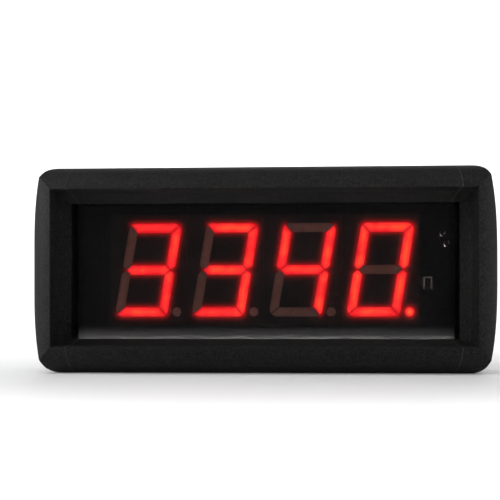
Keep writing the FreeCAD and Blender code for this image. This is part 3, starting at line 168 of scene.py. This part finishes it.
def textured_black(name, colour, roughness, grain_size, depth, sheen=0.12, speckle=4.5,
                   seam_highlight_within=None):
    material, tree, shader = start_finish(name)
    fine = grain(tree, grain_size, detail=3.0, roughness=0.6)
    broad = grain(tree, 24 * MM, detail=2.0)
    worn_and_lit_edge = edge_mask(tree, EDGE_WIDTH)
    base = ramp(tree, broad, [(0.3, shaded(colour, 0.86)), (0.7, shaded(colour, 1.14))])
    speckled = mix_colours(tree, between(tree, fine, 0.0, 1.0, 0.44, 0.58), base, shaded(colour, speckle))
    # Sharp edges are painted lighter: partly wear, partly a painted highlight.
    edged = mix_colours(tree, calculate(tree, "MULTIPLY", worn_and_lit_edge, 0.5), speckled, shaded(colour, EDGE_WEAR_AND_HIGHLIGHT))
    # A narrow band of the cap next to the seam is painted this lighter grey: a painted highlight.
    if seam_highlight_within:
        across = add(tree, "ShaderNodeSeparateXYZ", {0: place(tree)}).outputs["X"]
        off_middle = calculate(tree, "ABSOLUTE", across)
        edged = mix_colours(tree, calculate(tree, "LESS_THAN", off_middle, seam_highlight_within), edged, SEAM_HIGHLIGHT_GREY)
    tree.links.new(edged, shader.inputs["Base Color"])
    tree.links.new(between(tree, fine, roughness - 0.07, roughness + 0.07), shader.inputs["Roughness"])
    shader.inputs["Specular IOR Level"].default_value = sheen
    tree.links.new(relief(tree, fine, depth), shader.inputs["Normal"])
    return material


powder_coat = textured_black("powder_coated_rail", (0.0032, 0.0032, 0.0031), 0.60, 0.90 * MM, 0.20 * MM)
seam = min(abs(corner[0]) for corner in nodes["right_end_cap"].bound_box)
moulded_cap = textured_black("textured_cap_moulding", (0.0032, 0.0032, 0.0031), 0.58, 0.95 * MM, 0.20 * MM,
                             seam_highlight_within=seam + SEAM_WIDTH)
print(f"the end caps begin {seam / MM:.1f} mm either side of the middle")
panel_coat = textured_black("satin_panel_coat", (0.010, 0.010, 0.0105), 0.42, 0.8 * MM, 0.012 * MM,
                            speckle=1.8)
print("case finishes:", powder_coat.name, moulded_cap.name, panel_coat.name)

# %% [markdown]
# ## Smoked acrylic
# A dark clear sheet does two things: it tints what is seen through it, and it mirrors the room faintly.
# A Transparent shader tints without bending or scattering light, which keeps the figures crisp, and a
# Fresnel term mixes in the polished reflection, weak face-on and strong at a grazing angle. A thin
# layer of dust lies on top.

# %% The window's finish
def smoked_acrylic():
    material, tree, shader = start_finish("smoked_acrylic")
    tree.nodes.remove(shader)
    output = next(node for node in tree.nodes if node.type == "OUTPUT_MATERIAL")
    haze = grain(tree, 9 * MM, detail=4.0)
    tint = ramp(tree, haze, [(0.3, (0.66, 0.62, 0.62)), (0.7, (0.70, 0.655, 0.655))])
    clear = add(tree, "ShaderNodeBsdfTransparent", {"Color": tint})
    ripple = relief(tree, grain(tree, 35 * MM, detail=1.0), 0.01 * MM)
    polish = add(tree, "ShaderNodeBsdfAnisotropic", {"Roughness": 0.03, "Normal": ripple})
    polish.inputs["Color"].default_value = (0.95, 0.95, 0.95, 1.0)
    fresnel = add(tree, "ShaderNodeFresnel", {"IOR": 1.49, "Normal": ripple})
    sheet = add(tree, "ShaderNodeMixShader",
                {0: fresnel.outputs[0], 1: clear.outputs[0], 2: polish.outputs[0]})
    dust = add(tree, "ShaderNodeBsdfDiffuse")
    dust.inputs["Color"].default_value = (0.50, 0.50, 0.45, 1.0)
    specks = between(tree, grain(tree, 0.9 * MM, detail=3.0, roughness=0.7), 0.0, 0.030, 0.56, 0.74)
    dusty = add(tree, "ShaderNodeMixShader", {0: specks, 1: sheet.outputs[0], 2: dust.outputs[0]})
    tree.links.new(dusty.outputs[0], output.inputs["Surface"])
    return material


acrylic = smoked_acrylic()

# %% [markdown]
# ## Plain mouldings, rubber and metal
# Most small parts are moulded plastic or plated metal. One function covers each family: the plastic
# has mould texture and slight colour drift, the metal has drawn-out scratches that follow its making.

# %% Mouldings and metals
def moulding(name, colour, roughness=0.45, grain_size=0.3 * MM, depth=0.012 * MM, sheen=0.5, coat=0.0):
    material, tree, shader = start_finish(name)
    fine = grain(tree, grain_size, detail=3.0)
    broad = grain(tree, 6 * MM, detail=2.0)
    base = ramp(tree, broad, [(0.3, shaded(colour, 0.9)), (0.7, shaded(colour, 1.1))])
    tree.links.new(base, shader.inputs["Base Color"])
    tree.links.new(between(tree, fine, roughness - 0.06, roughness + 0.06), shader.inputs["Roughness"])
    shader.inputs["Specular IOR Level"].default_value = sheen
    shader.inputs["Coat Weight"].default_value = coat
    shader.inputs["Coat Roughness"].default_value = 0.12
    tree.links.new(relief(tree, fine, depth), shader.inputs["Normal"])
    return material


def metal(name, colour, roughness=0.28, along=(1.0, 1.0, 1.0), tarnish=(0.45, 0.40, 0.33)):
    material, tree, shader = start_finish(name)
    shader.inputs["Metallic"].default_value = 1.0
    scratches = grain(tree, 0.25 * MM, detail=4.0, stretch=along)
    stains = grain(tree, 3 * MM, detail=3.0)
    base = mix_colours(tree, between(tree, stains, 0.0, 0.5, 0.5, 0.8), colour, tarnish)
    tree.links.new(base, shader.inputs["Base Color"])
    tree.links.new(between(tree, scratches, roughness - 0.08, roughness + 0.10), shader.inputs["Roughness"])
    tree.links.new(relief(tree, scratches, 0.004 * MM), shader.inputs["Normal"])
    return material


# %% [markdown]
# ## The circuit board
# Solder mask is a thin black lacquer over copper, so tracks show as slightly lighter, raised bands.
# Two wave textures at right angles, cut into patches by a Voronoi texture, look like routed tracks.

# %% Circuit board finish
TRACK_PITCH = 9.0 * MM
PATCH_SIZE = 14.0 * MM


def circuit_board():
    material, tree, shader = start_finish("solder_mask")
    where = place(tree)
    tracks = []
    for direction in ("X", "Z"):
        wave = add(tree, "ShaderNodeTexWave", {"Vector": where, "Scale": 1.0 / TRACK_PITCH},
                   wave_type="BANDS", bands_direction=direction)
        tracks.append(ramp(tree, wave.outputs["Fac"], [(0.55, 0.0), (0.65, 1.0)]))
    patches = add(tree, "ShaderNodeTexVoronoi", {"Vector": where, "Scale": 1.0 / PATCH_SIZE}, feature="F1")
    choice = ramp(tree, patches.outputs["Color"], [(0.48, 0.0), (0.52, 1.0)])
    track = mix_colours(tree, choice, tracks[0], tracks[1])
    colour = mix_colours(tree, track, (0.0075, 0.0075, 0.0080), (0.011, 0.011, 0.0115))
    tree.links.new(colour, shader.inputs["Base Color"])
    weave = grain(tree, 0.35 * MM, detail=2.0)
    tree.links.new(between(tree, weave, 0.34, 0.48), shader.inputs["Roughness"])
    shader.inputs["Specular IOR Level"].default_value = 0.3
    tree.links.new(relief(tree, track, 0.03 * MM), shader.inputs["Normal"])
    return material


# %% Clear epoxy
def clear_epoxy():
    """Clear epoxy over a silvered cup: a small, bright, slightly soft reflection of the room."""
    material, tree, shader = start_finish("smoky_epoxy")
    swirl = grain(tree, 1.2 * MM, detail=2.0)
    tree.links.new(ramp(tree, swirl, [(0.3, (0.78, 0.78, 0.79)), (0.7, (0.92, 0.92, 0.93))]),
                   shader.inputs["Base Color"])
    shader.inputs["Metallic"].default_value = 1.0
    tree.links.new(between(tree, swirl, 0.10, 0.22), shader.inputs["Roughness"])
    shader.inputs["Coat Weight"].default_value = 1.0
    shader.inputs["Coat Roughness"].default_value = 0.05
    return material


# %% Finishes for each slot
finishes = {
    "black_powder_coat": powder_coat,
    "black_moulding": moulded_cap,
    "black_sheet": panel_coat,
    "black_screw": metal("black_oxide_screw", (0.06, 0.06, 0.062), 0.38, tarnish=(0.10, 0.09, 0.08)),
    "smoked_acrylic": acrylic,
    "foam_seal": moulding("seal_foam", (0.018, 0.018, 0.018), 0.85, 0.5 * MM, 0.12 * MM, 0.2),
    "tinned_metal": metal("tinned_leads", (0.72, 0.71, 0.68), 0.30),
    "circuit_board": circuit_board(),
    "infrared_black": moulding("infrared_epoxy", (0.012, 0.010, 0.014), 0.16, coat=0.5),
    "tin_shield": metal("bright_tinplate", (0.96, 0.95, 0.92), 0.50, tarnish=(0.86, 0.85, 0.82)),
    "clear_epoxy": clear_epoxy(),
    "chip_black": moulding("chip_epoxy", (0.016, 0.016, 0.017), 0.55, 0.2 * MM, 0.02 * MM),
    "resistor_black": moulding("resistor_glaze", (0.022, 0.022, 0.026), 0.25),
    "crystal_can": metal("crystal_can", (0.80, 0.78, 0.72), 0.22),
    "ferrite": moulding("ferrite", (0.035, 0.032, 0.030), 0.65, 0.25 * MM, 0.03 * MM),
    "capacitor_sleeve": moulding("shrunk_sleeve", (0.018, 0.022, 0.07), 0.30, 1.2 * MM, 0.02 * MM, coat=0.3),
    "buzzer_black": moulding("sounder_case", (0.016, 0.016, 0.016), 0.50),
    "cell_steel": metal("cell_steel", (0.80, 0.79, 0.76), 0.26, along=(0.2, 1.0, 1.0)),
    "switch_case": moulding("switch_case", (0.035, 0.035, 0.036), 0.45),
    "switch_stem": moulding("switch_stem", (0.30, 0.03, 0.02), 0.40),
    "key_cap": moulding("silicone_key", (0.085, 0.085, 0.088), 0.62, 0.35 * MM, 0.02 * MM, 0.35),
    "rocker_black": moulding("switch_nylon", (0.014, 0.014, 0.015), 0.30, 0.4 * MM, 0.01 * MM),
    "brass_terminal": metal("terminal_brass", (0.80, 0.62, 0.30), 0.28, tarnish=(0.42, 0.28, 0.12)),
    "socket_black": moulding("socket_moulding", (0.018, 0.018, 0.018), 0.42),
    "nickel_nut": metal("nickel_plate", (0.74, 0.71, 0.65), 0.22),
    "black_rubber": moulding("grommet_rubber", (0.014, 0.014, 0.014), 0.70, 0.3 * MM, 0.02 * MM, 0.3),
    "red_insulation": moulding("red_wire", (0.42, 0.012, 0.010), 0.38),
    "black_insulation": moulding("black_wire", (0.014, 0.014, 0.014), 0.38),
    "white_nylon": moulding("header_nylon", (0.66, 0.64, 0.57), 0.45),
}
for node, thing in nodes.items():
    if slot_of[node] in finishes:
        thing.data.materials.clear()
        thing.data.materials.append(finishes[slot_of[node]])
print(f"{len(finishes)} finishes given to the carried-over pieces")

# %% [markdown]
# ## The light pipes
# Behind every segment is a shallow well filled with clear epoxy over an LED chip. A lit one is hottest
# along its middle and falls off to its rim. The CAD faces have corners only on their outlines, so each
# front face is split into small triangles first, and every corner then gets its distance from the
# outline as an attribute named core: 0 at the rim, 1 where the epoxy is deepest.

# %% Splitting front faces finely
def welded_copy(node):
    """A bmesh of a CAD node with its split corners joined."""
    mesh = bmesh.new()
    mesh.from_mesh(nodes[node].data)
    bmesh.ops.remove_doubles(mesh, verts=mesh.verts, dist=1e-6)
    return mesh


FLAT_WITHIN = 0.01 * MM
SPLIT_ROUNDS = 14


def at_front(co, front):
    return abs(co.y - front) < FLAT_WITHIN


def front_outlines(node):
    """The closed outlines, as lists of (x, z), of the flat faces at a node's front."""
    mesh = welded_copy(node)
    front = min(vertex.co.y for vertex in mesh.verts)
    bmesh.ops.dissolve_limit(mesh, angle_limit=math.radians(0.5), verts=mesh.verts, edges=mesh.edges)
    outlines = [[(v.co.x, v.co.z) for v in face.verts] for face in mesh.faces
                if face.normal.y < -0.99 and at_front(face.calc_center_median(), front)]
    mesh.free()
    return outlines


def split_finely(mesh, front, longest):
    """Splits the front face's edges until none is longer than longest."""
    for _ in range(SPLIT_ROUNDS):
        long_edges = [edge for edge in mesh.edges
                      if edge.calc_length() > longest and all(at_front(v.co, front) for v in edge.verts)]
        if not long_edges:
            break
        bmesh.ops.subdivide_edges(mesh, edges=long_edges, cuts=1)
        flat = [face for face in mesh.faces if len(face.verts) > 3]
        bmesh.ops.triangulate(mesh, faces=flat, quad_method="SHORT_EDGE", ngon_method="BEAUTY")


def distance_to_outline(points, outline):
    """Distances from an (n, 2) array of points to a closed outline, by its nearest edge."""
    best = np.full(len(points), np.inf)
    corners = np.array(outline)
    for start, end in zip(corners, np.roll(corners, -1, axis=0)):
        run = end - start
        share = np.clip(((points - start) @ run) / max(run @ run, 1e-18), 0, 1)
        best = np.minimum(best, np.linalg.norm(points - (start + share[:, None] * run), axis=1))
    return best


def finish_mesh(mesh, name, node, material):
    """Turns a bmesh into a piece that stands for a CAD node and rides on the same body."""
    data = bpy.data.meshes.new(name)
    mesh.to_mesh(data)
    mesh.free()
    thing = bpy.data.objects.new(name, data)
    bpy.context.scene.collection.objects.link(thing)
    data.materials.append(material)
    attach(thing, body_of[node])
    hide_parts(node)
    return thing


# %% Light pipes with cores
PIPE_EDGE = 0.7 * MM
CORE_REACH = 1.9 * MM
CROWN = 0.08 * MM
DOT_WIDTH = 5.5 * MM
DOT_HEAT, STROKE_HEAT = 0.95, 0.52


def make_light_pipes(node, name, material):
    outlines = front_outlines(node)
    mesh = welded_copy(node)
    front = min(vertex.co.y for vertex in mesh.verts)
    split_finely(mesh, front, PIPE_EDGE)
    core = mesh.verts.layers.float.new("core")
    face_corners = [vertex for vertex in mesh.verts if at_front(vertex.co, front)]
    points = np.array([(v.co.x, v.co.z) for v in face_corners])
    distances = [distance_to_outline(points, outline) for outline in outlines]
    depth = np.min(distances, axis=0)
    for face in mesh.faces:
        face.smooth = all(at_front(vertex.co, front) for vertex in face.verts)
    widths = np.array([np.ptp(np.array(outline)[:, 0]) for outline in outlines])
    heat = np.where(widths[np.argmin(distances, axis=0)] < DOT_WIDTH, DOT_HEAT, STROKE_HEAT)
    for vertex, value, top in zip(face_corners, np.clip(depth / CORE_REACH, 0, 1), heat):
        vertex[core] = float(value * top)
        vertex.co.y -= CROWN * math.sin(float(value) * math.pi / 2)
    finish_mesh(mesh, name, node, material)
    return outlines


# %% [markdown]
# The lit epoxy is an emitter: deep red at the rim and closer to orange in the core, where the chips
# shine through. The unlit epoxy is a milky filling with a faint painted glow, standing for the light it picks
# up from its neighbours.

# %% Lit and unlit epoxy
LIT_STRENGTH = 2.3


def lit_epoxy():
    material, tree, shader = start_finish("lit_epoxy")
    core = add(tree, "ShaderNodeAttribute", attribute_name="core").outputs["Fac"]
    chips = between(tree, grain(tree, 6.0 * MM, detail=1.0), -0.15, 0.20, 0.38, 0.62)
    heat = calculate(tree, "ADD", core, chips)
    glow = ramp(tree, heat, [(0.0, (0.74, 0.007, 0.014)), (0.15, (0.92, 0.018, 0.024)),
                             (0.42, (1.0, 0.036, 0.028)), (0.66, (1.0, 0.082, 0.030)),
                             (1.0, (1.0, 0.150, 0.034))])
    tree.links.new(glow, shader.inputs["Emission Color"])
    shader.inputs["Emission Strength"].default_value = LIT_STRENGTH
    shader.inputs["Base Color"].default_value = (0.30, 0.02, 0.02, 1.0)
    shader.inputs["Roughness"].default_value = 0.3
    return material


def unlit_epoxy_painted_glow():
    material, tree, shader = start_finish("unlit_epoxy_painted_glow")
    core = add(tree, "ShaderNodeAttribute", attribute_name="core").outputs["Fac"]
    cloud = grain(tree, 3.0 * MM, detail=3.0)
    deep = calculate(tree, "ADD", core, between(tree, cloud, -0.2, 0.2))
    colour = ramp(tree, deep, [(0.0, (0.27, 0.140, 0.112)), (0.5, (0.34, 0.166, 0.132))])
    tree.links.new(colour, shader.inputs["Base Color"])
    tree.links.new(between(tree, cloud, 0.25, 0.4), shader.inputs["Roughness"])
    # The faint emission is a painted glow, standing for light the unlit epoxy picks up from its neighbours.
    tree.links.new(colour, shader.inputs["Emission Color"])
    shader.inputs["Emission Strength"].default_value = 0.15
    return material


lit = lit_epoxy()
unlit = unlit_epoxy_painted_glow()
DIGITS = range(1, 5)
lit_outlines = {}
for digit in DIGITS:
    lit_outlines[digit] = make_light_pipes(f"digit_{digit}_lit_segments", f"digit_{digit}_lit_pipes", lit)
    make_light_pipes(f"digit_{digit}_unlit_segments", f"digit_{digit}_dark_pipes", unlit)
    print(f"digit {digit}: {len(lit_outlines[digit])} lit light pipes")

# %% [markdown]
# ## The modules' faces
# Light leaks out of the wells into the film on each module's face and into the acrylic, and makes a
# soft red halo. The face is split finely, each corner gets a halo value from its distance to the lit
# outlines of all four figures, and the shell's finish adds that much red light to its dark ink.

# %% Faces with halos
FACE_EDGE = 1.3 * MM
HALO_REACH = 0.90 * MM
HALO_FALL = 1.25
BLOOM_REACH = 3.2 * MM


def make_module_shell(digit, material):
    node = f"digit_{digit}_body"
    mesh = welded_copy(node)
    front = min(vertex.co.y for vertex in mesh.verts)
    split_finely(mesh, front, FACE_EDGE)
    halo = mesh.verts.layers.float.new("halo")
    bloom = mesh.verts.layers.float.new("bloom")
    vertices = list(mesh.verts)
    points = np.array([(v.co.x, v.co.z) for v in vertices])
    distances = [distance_to_outline(points, outline)
                 for outlines in lit_outlines.values() for outline in outlines]
    near = np.sum([np.exp(-(distance / HALO_REACH) ** HALO_FALL) for distance in distances], axis=0)
    wide = np.sum([np.exp(-distance / BLOOM_REACH) for distance in distances], axis=0)
    for vertex, near_value, wide_value in zip(vertices, near, wide):
        if at_front(vertex.co, front):
            vertex[halo] = min(1.0, float(near_value))
            vertex[bloom] = float(wide_value)
    return finish_mesh(mesh, f"digit_{digit}_shell", node, material)


def module_shell():
    material, tree, shader = start_finish("module_ink_painted_halo")
    halo = add(tree, "ShaderNodeAttribute", attribute_name="halo").outputs["Fac"]
    bloom = add(tree, "ShaderNodeAttribute", attribute_name="bloom").outputs["Fac"]
    fine = grain(tree, 0.4 * MM, detail=2.0)
    tree.links.new(ramp(tree, fine, [(0.3, (0.0085, 0.0070, 0.0062)), (0.7, (0.0125, 0.0103, 0.0090))]),
                   shader.inputs["Base Color"])
    tree.links.new(between(tree, fine, 0.5, 0.62), shader.inputs["Roughness"])
    # The halo and bloom are painted glow: red emission near the lit outlines and a faint wide tail.
    close = ramp(tree, halo, [(0.0, 0.0), (1.0, (0.86, 0.002, 0.006))])
    far = ramp(tree, bloom, [(0.0, 0.0), (1.0, (0.021, 0.0055, 0.0045))])
    tree.links.new(mix_colours(tree, 1.0, close, far, "ADD"), shader.inputs["Emission Color"])
    shader.inputs["Emission Strength"].default_value = 1.0
    tree.links.new(relief(tree, fine, 0.01 * MM), shader.inputs["Normal"])
    return material


shell_ink_painted_halo = module_shell()
for digit in DIGITS:
    shell = make_module_shell(digit, shell_ink_painted_halo)
    print(f"{shell.name}: {len(shell.data.vertices)} corners")

# %% [markdown]
# ## Floor, backdrop and light
# The case stands on a pale table that sweeps up into a white backdrop. Softboxes hang above and at the
# sides, with a weak one high in front, and a narrow one aims straight down at the table before the
# case, whose light bounces up under the frame. Otherwise there is only a dim room in front, which is
# why the window looks black down to the line where the table's reflection begins.

# %% Sweep
def pale_finish(name, level):
    material, tree, shader = start_finish(name)
    tree.links.new(ramp(tree, grain(tree, 60 * MM, detail=3.0), [(0.3, level * 0.985), (0.7, level)]),
                   shader.inputs["Base Color"])
    shader.inputs["Roughness"].default_value = 0.7
    shader.inputs["Specular IOR Level"].default_value = 0.25
    return material


def make_sweep():
    """A floor that curves up into a wall behind, as one strip of quads."""
    half_width, near, far, rise, bend, bend_steps = 2.4, -3.4, 0.9, 2.2, 0.5, 12
    profile = [(near, 0.0), (far - bend, 0.0)]
    for step in range(1, bend_steps + 1):
        angle = math.pi / 2 * step / bend_steps
        profile.append((far - bend + bend * math.sin(angle), bend - bend * math.cos(angle)))
    profile.append((far, rise))
    corners = [(x, y, z) for y, z in profile for x in (-half_width, half_width)]
    quads = [(2 * i, 2 * i + 1, 2 * i + 3, 2 * i + 2) for i in range(len(profile) - 1)]
    data = bpy.data.meshes.new("sweep")
    data.from_pydata(corners, [], quads)
    for polygon in data.polygons:
        polygon.use_smooth = True
    sweep = bpy.data.objects.new("sweep", data)
    bpy.context.scene.collection.objects.link(sweep)
    data.materials.append(pale_finish("pale_table", 0.88))


make_sweep()


# %% Lights
def softbox(name, place_at, aim_at, width, height, power, spread=180):
    light = bpy.data.lights.new(name, "AREA")
    light.shape = "RECTANGLE"
    light.size = width
    light.size_y = height
    light.energy = power
    light.spread = math.radians(spread)
    thing = bpy.data.objects.new(name, light)
    thing.location = place_at
    thing.rotation_euler = (Vector(aim_at) - Vector(place_at)).to_track_quat("-Z", "Y").to_euler()
    bpy.context.scene.collection.objects.link(thing)


middle = (0.0, 0.0, 0.05)
softbox("overhead_box", (0.0, -0.22, 0.75), middle, 0.9, 0.4, 1.4)
softbox("left_box", (-0.9, -0.25, 0.45), middle, 0.5, 0.8, 6.8)
softbox("right_box", (0.95, -0.15, 0.4), middle, 0.5, 0.8, 2.2)
softbox("front_box", (0.15, -1.1, 0.95), middle, 0.9, 0.5, 3.0)
softbox("table_box", (0.0, -0.34, 0.5), (0.0, -0.34, 0.0), 0.5, 0.16, 2.2, spread=60)
softbox("backdrop_wash", (0.0, 0.45, 0.95), (0.0, 1.3, 0.5), 1.6, 0.4, 16.0)
world = bpy.data.worlds.new("dim_room")
world.use_nodes = True
world.node_tree.nodes["Background"].inputs["Color"].default_value = (0.9, 0.95, 1.0, 1.0)
world.node_tree.nodes["Background"].inputs["Strength"].default_value = 0.06
bpy.context.scene.world = world
bpy.context.scene.view_settings.view_transform = "Standard"

# %% [markdown]
# ## Camera
# The camera stands level on the table close in front of the case, a little right of its middle, and
# its film is shifted up instead of tilting, so the upright edges stay upright.

# %% Camera
camera_data = bpy.data.cameras.new("camera")
camera_data.lens = 30.82
camera_data.sensor_width = 36.0
camera_data.shift_x = -0.0469
camera_data.shift_y = 0.1447
camera_data.clip_start = 0.01
camera = bpy.data.objects.new("camera", camera_data)
camera.location = (0.0098, -0.2181, 0.0245)
camera.rotation_euler = (math.radians(90), 0.0, math.radians(1.315))
bpy.context.scene.collection.objects.link(camera)
bpy.context.scene.camera = camera
